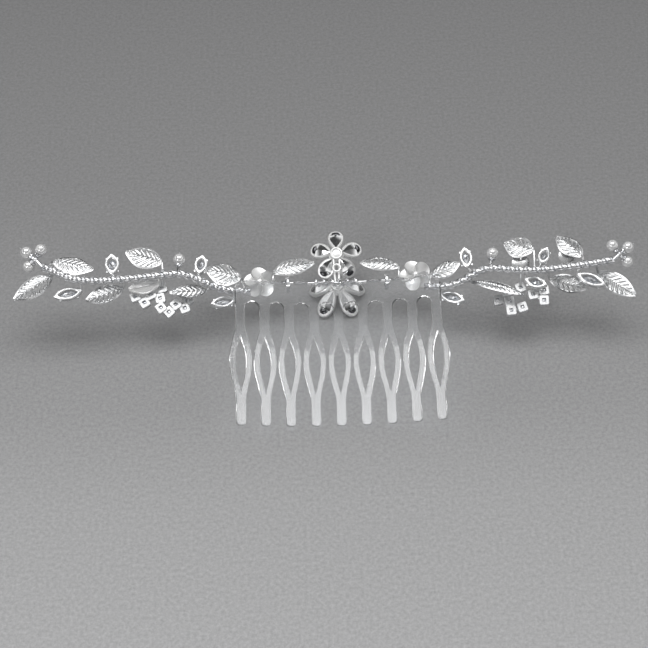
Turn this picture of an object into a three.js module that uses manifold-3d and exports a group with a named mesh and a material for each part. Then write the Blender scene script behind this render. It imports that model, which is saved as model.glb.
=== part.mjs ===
// Decorative hair comb: a clear nine-tooth side comb under a twisted-wire vine of leaves, crystals and beads.
// Comb frame, mm: +x along the comb, +y from the tooth tips to the spine, +z to the head side.
// The vine is on the -z side.
// The last lines lay it face down on a table, leaning on the tooth tips and the lower flower.
import * as THREE from "three";
import { mergeVertices } from "three/addons/utils/BufferGeometryUtils.js";
import Module from "manifold-3d";

const wasm = await Module();
wasm.setup();

// ---- Driving dimensions, mm ----
const LEAN = THREE.MathUtils.degToRad(22); // comb plane above the table
const GAP = 0.3; // between two pieces that touch

const TEETH = 9;
const PITCH = 8.05;
const COMB_THICK = 1.7;
const COMB_RADIUS = 100; // plan curve that follows the head
const SPINE_TOP = 49.1;
const SCALLOP = 1.2; // how deep the valley over each tooth is
const CORNER = 3; // rise of the spine's two rounded ends
const SLOT_TOP = 42.1;
const STEM_HALF = 1.48;
const LOOP_TOP = 33;
const LOOP_MID = 22;
const LOOP_HALF = 3.55;
const LOOP_SHOULDER = 1.9; // half width where a loop leaves its stem
const LOOP_BOTTOM = 8.6;
const EYE_TOP = 30.5;
const EYE_BOTTOM = 10.5;
const EYE_HALF = 1.95;
const EYE_SHOULDER = 0.9;
const TIP_ROUND = 0.5;
const TIP_CURL = 4.4; // how far the tips reach to the head side
const CURL_FROM = 33;
const SEAM = 0.02; // how far neighbouring comb strips run into each other

const TIE_TEETH = [-2, 2];
const TIE_HOLE_Y = 46.1;
const TIE_HOLE = 0.9;
const TIE_WIRE = 0.4;
const RAIL_WIRE = 0.55;
const RAIL_Y = 49.6;
const RAIL_HALF = 22;

const STRAND = 0.5;
const STRAND_OFFSET = 0.66;
const ROPE_RADIUS = STRAND + STRAND_OFFSET;
const ROPE_LAY = 5; // one full turn of the twist
const STRAND_STEPS = 7; // per turn
const STRAND_SIDES = 5;
const BOW_START = -3;
const BOW_RISE = 13.5;
const BOW_SPREAD = 50;

const LEAF_THICK = 0.8;
const LEAF_CUP = 0.9;
const LEAF_RIPPLE = 0.22;
const LEAF_STEPS = 8;
const LEAF_ACROSS = 4;
const LEAF_END = 0.25; // half width of a blade's two ends
const LEAF_SWEEP = 0.6; // how far the edges lead the middle line
const POST = 0.5;
const DISC_RADIUS = 2.2;
const DISC_SIDES = 10;

const STONE_RIM = 0.75;
const STONE_DEPTH = 2;
const BEAD = 1.95;
const CAP_RADIUS = 1.2;
const CAP_HIGH = 0.5;
const CUP = 2.9;
const CUP_HOLE = 1.4;
const CUP_HIGH = 1.9;
const CUP_BAR = 0.45;
const BAR_DEPTH = 0.3; // the bars lie this far to the front of the cups' middle
const PETALS = 5;
const HUB_HALF = 0.9;
const GEM_TABLE = 0.6; // width of a stone's table over its girdle

// ---- Solids ----
const solid = (geometry) => {
  const bare = new THREE.BufferGeometry();
  const flat = geometry.index ? geometry.toNonIndexed() : geometry;
  bare.setAttribute("position", flat.getAttribute("position"));
  const merged = mergeVertices(bare, 1e-4);
  return new wasm.Manifold(new wasm.Mesh({
    numProp: 3,
    vertProperties: merged.attributes.position.array,
    triVerts: new Uint32Array(merged.index.array),
  }));
};

const join = (geometries, cuts = []) => {
  let made = solid(geometries[0]);
  for (const more of geometries.slice(1)) made = made.add(solid(more));
  for (const cut of cuts) made = made.subtract(solid(cut));
  const mesh = made.getMesh();
  const out = new THREE.BufferGeometry();
  out.setAttribute("position", new THREE.BufferAttribute(new Float32Array(mesh.vertProperties), 3));
  out.setIndex(new THREE.BufferAttribute(new Uint32Array(mesh.triVerts), 1));
  return out.toNonIndexed();
};

// A closed sheet: at(u, v) gives a point of its middle surface, u and v from 0 to 1.
const sheet = (steps, across, thick, at) => {
  const points = [];
  const faces = [];
  const row = across + 1;
  const layer = (steps + 1) * row;
  for (const side of [0.5, -0.5])
    for (let i = 0; i <= steps; i++)
      for (let j = 0; j <= across; j++) {
        const p = at(i / steps, j / across);
        points.push(p.x, p.y, p.z + side * thick);
      }
  const quad = (a, b, c, d) => faces.push(a, b, c, a, c, d);
  for (let i = 0; i < steps; i++)
    for (let j = 0; j < across; j++) {
      const a = i * row + j;
      quad(a, a + row, a + row + 1, a + 1);
      quad(layer + a, layer + a + 1, layer + a + row + 1, layer + a + row);
    }
  for (let i = 0; i < steps; i++) {
    const a = i * row;
    const b = a + across;
    quad(a, layer + a, layer + a + row, a + row);
    quad(b + row, layer + b + row, layer + b, b);
  }
  for (let j = 0; j < across; j++) {
    const a = j;
    const b = steps * row + j;
    quad(a + 1, layer + a + 1, layer + a, a);
    quad(b, layer + b, layer + b + 1, b + 1);
  }
  const out = new THREE.BufferGeometry();
  out.setAttribute("position", new THREE.Float32BufferAttribute(points, 3));
  out.setIndex(faces);
  return out;
};

const vec = (x, y, z) => new THREE.Vector3(x, y, z);

// A frame with its x along `along` and its z as near as it can be to `facing`.
const frameAt = (origin, along, facing) => {
  const x = along.clone().normalize();
  const y = facing.clone().cross(x).normalize();
  return new THREE.Matrix4().makeBasis(x, y, x.clone().cross(y)).setPosition(origin);
};

const rod = (from, to, radius, sides = 6) => {
  const along = to.clone().sub(from);
  const turned = new THREE.Quaternion().setFromUnitVectors(vec(0, 1, 0), along.clone().normalize());
  const middle = from.clone().add(to).multiplyScalar(0.5);
  return new THREE.CylinderGeometry(radius, radius, along.length(), sides)
    .applyMatrix4(new THREE.Matrix4().compose(middle, turned, vec(1, 1, 1)));
};

const wire = (curve, radius, steps, sides = 6) => {
  const round = new THREE.Shape();
  for (let i = 0; i < sides; i++) {
    const turn = (i / sides) * 2 * Math.PI;
    if (i === 0) round.moveTo(radius, 0);
    else round.lineTo(radius * Math.cos(turn), radius * Math.sin(turn));
  }
  return new THREE.ExtrudeGeometry(round, { steps, extrudePath: curve });
};

const slabOf = (shape, depth, curveSegments) =>
  new THREE.ExtrudeGeometry(shape, { depth, bevelEnabled: false, curveSegments }).translate(0, 0, -depth / 2);

const pierced = (shape, hole, depth, curveSegments) =>
  join([slabOf(shape, depth, curveSegments)], [slabOf(hole, depth * 2, curveSegments)]);

// ---- Comb ----
const combShape = (index) => {
  const first = index === 0;
  const last = index === TEETH - 1;
  const half = PITCH / 2 + SEAM;
  const arc = PITCH / 2 - STEM_HALF;
  const shape = new THREE.Shape();
  const curve = (side, numbers) =>
    shape.bezierCurveTo(...numbers.map((value, i) => (i % 2 ? value : side * value)));
  const down = (side) => {
    shape.lineTo(side * STEM_HALF, LOOP_TOP);
    curve(side, [LOOP_SHOULDER, LOOP_TOP - 2.5, LOOP_HALF, LOOP_MID + 5, LOOP_HALF, LOOP_MID]);
    curve(side, [LOOP_HALF, LOOP_MID - 6, LOOP_SHOULDER - 0.3, LOOP_BOTTOM + 4, STEM_HALF, LOOP_BOTTOM]);
    shape.lineTo(side * STEM_HALF, TIP_ROUND);
    shape.lineTo(side * (STEM_HALF - TIP_ROUND), 0);
  };
  const up = (side) => {
    shape.lineTo(side * STEM_HALF, TIP_ROUND);
    shape.lineTo(side * STEM_HALF, LOOP_BOTTOM);
    curve(side, [LOOP_SHOULDER - 0.3, LOOP_BOTTOM + 4, LOOP_HALF, LOOP_MID - 6, LOOP_HALF, LOOP_MID]);
    curve(side, [LOOP_HALF, LOOP_MID + 5, LOOP_SHOULDER, LOOP_TOP - 2.5, STEM_HALF, LOOP_TOP]);
  };
  // the top edge from left to right, with its valley over the tooth
  if (first) {
    shape.moveTo(-STEM_HALF, SPINE_TOP - CORNER);
    shape.quadraticCurveTo(-STEM_HALF, SPINE_TOP - SCALLOP, 0, SPINE_TOP - SCALLOP);
  } else {
    shape.moveTo(-half, SPINE_TOP);
    shape.bezierCurveTo(-half + 1.6, SPINE_TOP, -0.9, SPINE_TOP - 0.6, 0, SPINE_TOP - SCALLOP);
  }
  if (last) {
    shape.quadraticCurveTo(STEM_HALF, SPINE_TOP - SCALLOP, STEM_HALF, SPINE_TOP - CORNER);
  } else {
    shape.bezierCurveTo(0.9, SPINE_TOP - 0.6, half - 1.6, SPINE_TOP, half, SPINE_TOP);
    shape.lineTo(half, SLOT_TOP);
    shape.absarc(PITCH / 2, SLOT_TOP - arc, arc, Math.PI / 2, Math.PI, false);
  }
  down(1);
  shape.lineTo(-STEM_HALF + TIP_ROUND, 0);
  up(-1);
  if (!first) {
    shape.lineTo(-STEM_HALF, SLOT_TOP - arc);
    shape.absarc(-PITCH / 2, SLOT_TOP - arc, arc, 0, Math.PI / 2, false);
    shape.lineTo(-half, SLOT_TOP);
  }
  shape.closePath();
  return shape;
};

const eyeShape = () => {
  const eye = new THREE.Shape();
  eye.moveTo(0, EYE_TOP);
  eye.bezierCurveTo(EYE_SHOULDER, EYE_TOP - 3, EYE_HALF, LOOP_MID + 3, EYE_HALF, LOOP_MID);
  eye.bezierCurveTo(EYE_HALF, LOOP_MID - 4, 0.5, EYE_BOTTOM + 2.5, 0, EYE_BOTTOM);
  eye.bezierCurveTo(-0.5, EYE_BOTTOM + 2.5, -EYE_HALF, LOOP_MID - 4, -EYE_HALF, LOOP_MID);
  eye.bezierCurveTo(-EYE_HALF, LOOP_MID + 3, -EYE_SHOULDER, EYE_TOP - 3, 0, EYE_TOP);
  return eye;
};

// Bends a flat strip to the plan curve and the tip curl.
const bendStrip = (geometry, shift) => {
  const p = geometry.attributes.position;
  for (let i = 0; i < p.count; i++) {
    const turn = (p.getX(i) + shift) / COMB_RADIUS;
    const curl = TIP_CURL * Math.max(0, 1 - p.getY(i) / CURL_FROM) ** 2;
    const reach = COMB_RADIUS - p.getZ(i);
    p.setXYZ(i, reach * Math.sin(turn), p.getY(i), COMB_RADIUS - reach * Math.cos(turn) + curl);
  }
  return geometry;
};

const combCentre = (x) => COMB_RADIUS - Math.sqrt(COMB_RADIUS ** 2 - x ** 2);

const comb = () => {
  const strips = [];
  for (let i = 0; i < TEETH; i++) {
    const flat = pierced(combShape(i), eyeShape(), COMB_THICK, 4);
    strips.push(bendStrip(flat, (i - (TEETH - 1) / 2) * PITCH));
  }
  const holes = TIE_TEETH.map((tooth) => {
    const x = tooth * PITCH;
    return rod(vec(x, TIE_HOLE_Y, combCentre(x) - 4), vec(x, TIE_HOLE_Y, combCentre(x) + 4), TIE_HOLE, 8);
  });
  return join(strips, holes);
};

// ---- Vine stem ----
const bow = (x) => BOW_START + BOW_RISE * (1 - Math.exp(-((x / BOW_SPREAD) ** 2)));
const at = (x, y, depth = 0) => vec(x, y, bow(x) - depth);

const LEFT_STEM = [
  [-94.6, 54], [-90.5, 52.2], [-86, 49.8], [-81, 49], [-74, 49], [-60, 50.4],
  [-50.5, 51.6], [-44.5, 49.6], [-38, 46.9], [-28.5, 46],
];
const RIGHT_STEM = [
  [28.5, 46], [36, 45.8], [40.5, 46.8], [44, 49], [48.5, 50.6],
  [56, 49.4], [65, 48.5], [80, 49.4], [88.8, 50.6],
];
const stemCurve = (points) => new THREE.CatmullRomCurve3(points.map(([x, y]) => at(x, y)));

const STEMS = [stemCurve(LEFT_STEM), stemCurve(RIGHT_STEM)];

// The point at x on the centre line of the stem, or of the rail between the two stems.
const stemAt = (x) => {
  if (Math.abs(x) < RAIL_HALF) return at(x, RAIL_Y);
  const stem = STEMS[x < 0 ? 0 : 1];
  let low = 0;
  let high = 1;
  for (let i = 0; i < 30; i++) {
    const middle = (low + high) / 2;
    if (stem.getPoint(middle).x < x) low = middle;
    else high = middle;
  }
  return stem.getPoint(low);
};

class Strand extends THREE.Curve {
  constructor(stem, phase) {
    super();
    this.stem = stem;
    this.phase = phase;
    this.turns = stem.getLength() / ROPE_LAY;
  }
  getPoint(t, target = new THREE.Vector3()) {
    const along = this.stem.getTangentAt(t);
    const up = vec(0, 0, 1).cross(along).normalize();
    const out = along.clone().cross(up);
    const turn = this.phase + 2 * Math.PI * this.turns * t;
    return target.copy(this.stem.getPointAt(t))
      .addScaledVector(up, STRAND_OFFSET * Math.cos(turn))
      .addScaledVector(out, STRAND_OFFSET * Math.sin(turn));
  }
}

const strand = (stem, phase) => {
  const steps = Math.round(stem.getLength() / ROPE_LAY * STRAND_STEPS);
  return wire(new Strand(stem, phase), STRAND, steps, STRAND_SIDES);
};

// The rail in front of the spine, and the two ties that go through the spine's holes and round the rail.
const bindingWire = () => {
  const rail = [-1, -0.5, 0, 0.5, 1].map((t) => at(t * RAIL_HALF, RAIL_Y));
  const ties = TIE_TEETH.map((tooth) => {
    const x = tooth * PITCH;
    const front = bow(x);
    const rear = combCentre(x) + COMB_THICK / 2 + 1.5 * GAP + TIE_WIRE;
    const loop = [
      [TIE_HOLE_Y, front], [TIE_HOLE_Y, rear - TIE_WIRE], [TIE_HOLE_Y + TIE_WIRE, rear],
      [RAIL_Y - TIE_WIRE, rear], [RAIL_Y, rear - TIE_WIRE], [RAIL_Y, front],
    ].map(([y, z]) => vec(x, y, z));
    return [
      wire(new THREE.CatmullRomCurve3(loop, false, "chordal"), TIE_WIRE, 20, 5),
      rod(vec(x, TIE_HOLE_Y - 0.3, front), vec(x, RAIL_Y, front), TIE_WIRE),
    ];
  });
  return join([wire(new THREE.CatmullRomCurve3(rail), RAIL_WIRE, 10), ...ties.flat()]);
};

// ---- Vine pieces ----
// A post from a piece to the stem at foot, which stops clear of the wire.
const postTo = (from, foot) => {
  const away = from.clone().sub(foot).normalize();
  return rod(foot.clone().addScaledVector(away, ROPE_RADIUS + GAP + 0.1), from, POST);
};

// A ribbed leaf from base to tip: [x, y, depth] each. Posts: [where along the leaf, x on the stem].
const leaf = (base, tip, { width = 5.6, tilt = 0, posts = [], ribs = LEAF_RIPPLE, arch = 0, disc }) => {
  const from = at(...base);
  const to = at(...tip);
  const length = from.distanceTo(to);
  const facing = vec(Math.sin(tilt) * 0.7, Math.sin(tilt), Math.cos(tilt));
  const frame = frameAt(from, to.clone().sub(from), facing);
  const middle = (u, v) => {
    const belly = Math.sin(Math.PI * u);
    const half = LEAF_END + (width / 2 - LEAF_END) * Math.sin(Math.PI * Math.min(1, u * 0.97 + 0.03) ** 0.85);
    const side = 2 * v - 1;
    const edge = Math.abs(side);
    const ripple = Math.round(u * LEAF_STEPS) % 2 ? ribs : -ribs;
    const high = (LEAF_CUP * (0.4 - edge ** 2) + arch) * belly + (edge < 1 ? ripple : 0);
    return vec(length * u + edge * LEAF_SWEEP * belly, half * side, high);
  };
  const blade = sheet(LEAF_STEPS, LEAF_ACROSS, LEAF_THICK, middle).applyMatrix4(frame);
  const stalks = posts.map(([u, x]) => postTo(middle(u, 0.5).applyMatrix4(frame), stemAt(x)));
  if (disc) {
    const [x, y, depth] = disc;
    const [front, rear] = [depth + LEAF_THICK / 2, depth - LEAF_THICK / 2];
    stalks.push(rod(at(x, y, front), at(x, y, rear), DISC_RADIUS, DISC_SIDES));
    stalks.push(rod(at(x, y, depth), middle(0.4, 0.5).applyMatrix4(frame), POST));
  }
  return join([blade, ...stalks]);
};

// A pointed oval, or a drop when blunt is over 0.
const oval = (path, length, width, blunt = 0) => {
  const half = length / 2;
  path.moveTo(-half, 0);
  path.bezierCurveTo(-half * 0.45, -width * 0.62, half * (0.45 + blunt), -width * 0.62, half, 0);
  path.bezierCurveTo(half * (0.45 + blunt), width * 0.62, -half * 0.45, width * 0.62, -half, 0);
  return path;
};

const stoneFrame = (base, tip, tilt) => {
  const from = at(...base);
  const to = at(...tip);
  const facing = vec(0, Math.sin(tilt), Math.cos(tilt));
  return frameAt(from.clone().add(to).multiplyScalar(0.5), to.clone().sub(from), facing);
};

// An open-backed setting for a pointed-oval stone, with claws at the front and a post to the stem.
const setting = (base, tip, { width = 4.4, tilt = 0, foot }) => {
  const length = at(...base).distanceTo(at(...tip));
  const frame = stoneFrame(base, tip, tilt);
  const hole = oval(new THREE.Shape(), length - 3.4 * STONE_RIM, width - 2 * STONE_RIM);
  const rim = pierced(oval(new THREE.Shape(), length, width), hole, STONE_DEPTH, 5);
  const claws = [-1, 1].map((end) =>
    new THREE.BoxGeometry(1.5, 0.8, 0.5).translate(end * (length / 2 - 1.2), 0, -STONE_DEPTH / 2 - 0.15));
  const ring = [rim, ...claws].map((g) => g.applyMatrix4(frame));
  const from = vec(-length / 2 + 0.5, 0, 0).applyMatrix4(frame);
  return join([...ring, postTo(from, stemAt(foot))]);
};

// A faceted pointed-oval stone: point at the back, table at the front.
const stone = (base, tip, { width = 4.4, tilt = 0 }) => {
  const length = at(...base).distanceTo(at(...tip)) - 3.4 * STONE_RIM - 4 * GAP;
  const broad = width - 2 * STONE_RIM - 2 * GAP;
  const outline = oval(new THREE.Shape(), length, broad).getPoints(3).slice(0, -1);
  const points = outline.map((p) => [p.x, p.y]);
  return gem(points, 0.7, STONE_DEPTH * 0.4).applyMatrix4(stoneFrame(base, tip, tilt));
};

// A stone over an outline: girdle at z = 0, table at -high, and back point at +deep.
const gem = (outline, high, deep) => {
  const count = outline.length;
  const girdle = outline.map(([x, y]) => [x, y, 0]);
  const table = outline.map(([x, y]) => [x * GEM_TABLE, y * GEM_TABLE, -high]);
  const points = [...girdle, ...table, [0, 0, deep], [0, 0, -high]];
  const faces = [];
  for (let i = 0; i < count; i++) {
    const j = (i + 1) % count;
    faces.push(i, j, 2 * count);
    faces.push(j, i, count + i, j, count + i, count + j);
    faces.push(count + j, count + i, 2 * count + 1);
  }
  const out = new THREE.BufferGeometry();
  out.setAttribute("position", new THREE.Float32BufferAttribute(points.flat(), 3));
  out.setIndex(faces);
  return out;
};

const ball = (centre, radius) =>
  new THREE.SphereGeometry(radius, 11, 7).rotateX(Math.PI / 2).translate(...centre);

// A post from a hub to a bead, with a cap that stops clear of the bead.
const capTo = (hub, centre, radius) => {
  const away = centre.clone().sub(hub).normalize();
  const end = centre.clone().addScaledVector(away, -(radius + GAP));
  return [rod(hub, end, POST), rod(end.clone().addScaledVector(away, -CAP_HIGH), end, CAP_RADIUS, 8)];
};

const beadFrame = (hub, beads, foot) => {
  const middle = at(...hub);
  const caps = beads.flatMap((bead) => capTo(middle, at(...bead), BEAD));
  const knot = new THREE.IcosahedronGeometry(HUB_HALF, 0).translate(...middle);
  return join([knot, ...caps, postTo(middle, stemAt(foot))]);
};

// Square open-backed cups side by side, [x, y, turn in degrees], on bars between neighbours.
const cluster = (cups, depth, bars, foot) => {
  const places = cups.map(([x, y, turn]) => ({ p: at(x, y, depth), turn: THREE.MathUtils.degToRad(turn) }));
  const box = ({ p, turn }) => {
    const shape = new THREE.Shape();
    const half = CUP / 2;
    shape.moveTo(-half, -half).lineTo(half, -half).lineTo(half, half).lineTo(-half, half).closePath();
    return slabOf(shape, CUP_HIGH, 1).rotateZ(turn).translate(...p);
  };
  const bore = ({ p, turn }) =>
    new THREE.CylinderGeometry(CUP_HOLE / 2, CUP_HOLE / 2, CUP_HIGH * 2, 6)
      .rotateX(Math.PI / 2).rotateZ(turn).translate(...p);
  const inFront = ({ p }) => vec(p.x, p.y, p.z - BAR_DEPTH);
  const links = bars.map(([a, b]) => rod(inFront(places[a]), inFront(places[b]), CUP_BAR));
  const post = postTo(places[foot[0]].p, stemAt(foot[1]));
  return join([...places.map(box), ...links, post], places.map(bore));
};

// Five petals round a hub, each leaning out to the front by flare. The whole flower tips about x by tip.
const flower = (hub, { reach, width, inner, flare, turn, thick, tip = 0, post }) => {
  const centre = vec(...hub);
  const knob = rod(vec(0, 0, -HUB_HALF), vec(0, 0, HUB_HALF), inner + 0.6, 10);
  const pieces = [knob.rotateX(tip).translate(...hub)];
  const length = reach - inner;
  for (let i = 0; i < PETALS; i++) {
    const petal = slabOf(oval(new THREE.Shape(), length, width, 0.5), thick, 4)
      .translate(length / 2, 0, 0).rotateY(flare)
      .translate(inner, 0, 0).rotateZ(turn + (i / PETALS) * 2 * Math.PI);
    pieces.push(petal.rotateX(tip).translate(...hub));
  }
  if (post) pieces.push(rod(centre, vec(...post), 0.9, 8));
  return join(pieces);
};

// ---- The assembly ----
const METAL = { color: 0xd8dadd, roughness: 0.18, metalness: 1 };
const BRIGHT = { color: 0xe6e7ea, roughness: 0.12, metalness: 1 };
const PLASTIC = { color: 0xdfe3e6, roughness: 0.2, metalness: 0 };
const CRYSTAL = { color: 0xeef2f6, roughness: 0.05, metalness: 0 };
const PEARL = { color: 0xeeece6, roughness: 0.25, metalness: 0 };

const laid = new THREE.Group();
const add = (name, geometry, look) => {
  const mesh = new THREE.Mesh(geometry, new THREE.MeshStandardMaterial(look));
  mesh.name = name;
  laid.add(mesh);
};

add("comb", comb(), PLASTIC);
add("binding_wire", bindingWire(), METAL);
["left", "right"].forEach((side, i) => {
  add(`stem_wire_${side}_a`, strand(STEMS[i], 0), METAL);
  add(`stem_wire_${side}_b`, strand(STEMS[i], Math.PI), METAL);
});

const LEAVES = {
  leaf_left_end: [[-92.6, 50.8, 2.4], [-103.8, 43.4, 1.2],
    { width: 6.6, tilt: -0.2, posts: [[0.12, -91.4]] }],
  leaf_left_top: [[-78.8, 53.2, 1.6], [-91.4, 56, 2.2], { tilt: 0.4, posts: [[0.1, -79], [0.4, -84.5]] }],
  leaf_left_low: [[-70.4, 46.3, 3.3], [-81, 43.3, 2.2], { tilt: -0.2, posts: [[0.12, -69]] }],
  leaf_left_raised: [[-57, 56, 1], [-68.4, 58.6, 1.6],
    { tilt: 0.3, posts: [[0.15, -57.5], [0.32, -60.5]] }],
  petal_left: [[-58, 49, 2.7], [-67.2, 46.6, 2],
    { width: 5.2, ribs: 0, tilt: -0.3, posts: [[0.15, -57.5]] }],
  leaf_left_inner: [[-42.8, 46.8, 3], [-54.4, 45.8, 1.8], { width: 5, tilt: 0.2, posts: [[0.1, -42.5]] }],
  leaf_left_comb: [[-31.6, 52, 3.4], [-43, 54.4, 3.8], { width: 5.4, tilt: 0.4, posts: [[0.3, -35]] }],
  leaf_left_arch: [[-20.6, 53.4, 1], [-7.4, 56.6, 0.2],
    { width: 5, tilt: 0.35, arch: 1.2, posts: [[0.35, -16.6]] }],
  leaf_right_arch: [[20.2, 54, 1], [7.6, 56, 0.2],
    { width: 5, tilt: 0.35, arch: 1, posts: [[0.35, 16.6]] }],
  leaf_right_comb: [[30.6, 50.8, 2.2], [40.2, 53.2, 1.2], { width: 5.6, tilt: 0.4, posts: [[0.2, 32]] }],
  leaf_right_curved: [[44, 46.6, 2.6], [60, 40.2, 1.4],
    { width: 4.6, tilt: 0.5, arch: 1.6, posts: [[0.1, 43.6]] }],
  leaf_right_raised: [[64, 56.8, 1.4], [54.4, 58, 1.4],
    { width: 5, tilt: 0.3, posts: [[0.3, 61.5]], disc: [59.6, 52.2, 2.6] }],
  leaf_right_top: [[78.8, 55.8, 1], [70, 58.4, 0.6],
    { width: 6.4, tilt: 0.35, posts: [[0.1, 77.6], [0.25, 75.6]], disc: [74.6, 53.6, 2.6] }],
  leaf_right_low: [[69.2, 46.6, 4.2], [80.6, 42.6, 4], { tilt: -0.2, posts: [[0.1, 69]] }],
  leaf_right_end: [[84.6, 47.6, 4.6], [95.6, 39.2, 2.4], { width: 6.6, tilt: -0.2, posts: [[0.1, 84.5]] }],
};
for (const [name, [base, tip, how]] of Object.entries(LEAVES)) add(name, leaf(base, tip, how), METAL);

const STONES = {
  left_low: [[-82.2, 46.4, 3.4], [-91.4, 44.6, 3.4], { width: 4.6, foot: -83 }],
  left_upright: [[-72.4, 51.2, 1.8], [-72.8, 58.4, 1.8], { width: 5.4, foot: -72.2 }],
  left_inner_upright: [[-45, 51.8, 1.8], [-43.6, 58.6, 1.8], { width: 4.8, foot: -45.8 }],
  left_inner_low: [[-33.4, 44.2, 3], [-41.4, 42, 2], { width: 4.4, foot: -34 }],
  right_inner_low: [[33.2, 44.2, 3], [41.2, 40.6, 2], { width: 4.6, foot: 33.5 }],
  right_inner_upright: [[42.6, 51.4, 1.8], [41.8, 58.8, 1.8], { width: 4.8, foot: 43.2 }],
  right_upright: [[65.8, 51, 2.6], [68.4, 56.6, 2.6], { width: 4.4, foot: 65 }],
  right_cluster: [[60.4, 46.4, 2.6], [67.6, 43.8, 2.6], { width: 4.4, foot: 61 }],
  right_low: [[77, 46.8, 1.9], [86, 42.6, 1.9], { width: 4.6, foot: 77.5 }],
};
for (const [name, [base, tip, how]] of Object.entries(STONES)) {
  add(`setting_${name}`, setting(base, tip, how), BRIGHT);
  add(`crystal_${name}`, stone(base, tip, how), CRYSTAL);
}

const BEADS = {
  left: {
    hub: [-97, 56.4, 0.8],
    foot: -94.6,
    beads: [[-99.9, 58.8, 0], [-95.2, 59.6, 0], [-99.4, 54.8, 2.2]],
  },
  right: {
    hub: [91.2, 52.6, 0.8],
    foot: 88.8,
    beads: [[88.8, 55.4, 0], [93.8, 54.6, 0], [93.6, 50.4, 2.2]],
  },
};
for (const [side, { hub, foot, beads }] of Object.entries(BEADS)) {
  add(`bead_frame_${side}`, beadFrame(hub, beads, foot), METAL);
  beads.forEach((bead, i) => add(`bead_${side}_${i + 1}`, ball(at(...bead), BEAD), PEARL));
}
for (const [side, bead, foot] of [["left", [-51, 56.4, 0], -51], ["right", [50.6, 55.4, 0], 49.4]]) {
  const top = at(...bead);
  const stem = stemAt(foot);
  const from = top.clone().lerp(stem, (BEAD + GAP + 0.6) / top.distanceTo(stem));
  add(`bead_cup_${side}`, join([...capTo(from, top, BEAD), postTo(from, stem)]), METAL);
  add(`bead_single_${side}`, ball(top, BEAD), PEARL);
}

// Each cup is [x, y, turn in degrees], and each bar the two cups it joins. The foot is [cup, x on the stem].
const CUPS_LEFT = [
  [-65.6, 45, 20], [-62.6, 43, 30], [-60.6, 45.8, 25], [-57.6, 44.6, 10], [-57, 48, 15],
  [-57.4, 41.4, 35], [-54.8, 40, 40], [-52.6, 42.6, 35], [-49.8, 41.4, 20], [-48.8, 44.2, 30],
];
const BARS_LEFT = [[0, 1], [1, 2], [2, 3], [3, 4], [3, 5], [5, 6], [6, 7], [7, 8], [8, 9], [5, 7]];
const CUPS_RIGHT = [
  [52, 41, 12], [55.6, 40.2, 8], [56, 37.2, 5], [59.6, 38, 15], [66.6, 39.8, 0],
  [66.8, 43.2, 5], [63.2, 42, 10], [59.4, 44.6, 20], [55, 43.6, 15],
];
const BARS_RIGHT = [[0, 1], [1, 2], [2, 3], [3, 6], [6, 4], [4, 5], [6, 7], [7, 8], [8, 0]];
add("cup_cluster_left", cluster(CUPS_LEFT, 5.4, BARS_LEFT, [4, -54]), BRIGHT);
add("cup_cluster_right", cluster(CUPS_RIGHT, 5.7, BARS_RIGHT, [7, 57.4]), BRIGHT);

const DISC = { reach: 4.6, width: 4.4, inner: 0.6, flare: 0.5, thick: 0.8 };
add("disc_flower_left", flower([-25.4, 50.6, bow(25.4) - 2.6], { ...DISC, turn: -0.9 }), METAL);
add("disc_flower_right", flower([26, 51.6, bow(26) - 2.6], { ...DISC, turn: -0.6 }), METAL);

const UPPER_HUB = [0, 60, -4.4];
const LOWER_HUB = [0, 50.2, -10.15]; // its petals rest on the table
const CENTRE_STONE = 2; // radius
const CENTRE_DROP = 2.4; // from the hub to the centre stone
const BIG = { width: 5.4, inner: 1.6, thick: 1.6, turn: Math.PI / 2 };
const UPPER = { ...BIG, reach: 9.2, flare: 0.42, post: [0, 51.2, -3] };
const LOWER = { ...BIG, reach: 11, flare: 0.62, tip: -LEAN, post: [0, 49, -4] };
add("flower_upper", flower(UPPER_HUB, UPPER), BRIGHT);
add("flower_lower", flower(LOWER_HUB, LOWER), BRIGHT);

const ROUND = Array.from({ length: 8 }, (_, i) => i * Math.PI / 4)
  .map((turn) => [CENTRE_STONE * Math.cos(turn), CENTRE_STONE * Math.sin(turn)]);
const centreStone = () => gem(ROUND, 1, 0.9).translate(0, 0, -CENTRE_DROP);
add("crystal_upper", centreStone().translate(...UPPER_HUB), CRYSTAL);
add("crystal_lower", centreStone().rotateX(-LEAN).translate(...LOWER_HUB), CRYSTAL);

// ---- Laid down on the table ----
laid.rotation.x = LEAN;
laid.updateMatrixWorld(true);
const box = new THREE.Box3().setFromObject(laid, true);
laid.position.set(-(box.min.x + box.max.x) / 2, -(box.min.y + box.max.y) / 2, -box.min.z);

export default new THREE.Group().add(laid);
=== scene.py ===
# Decorative hair comb: the detailed visual model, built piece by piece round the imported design.
import math

import bmesh
import bpy
import numpy as np
from mathutils import Matrix, Vector


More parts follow.
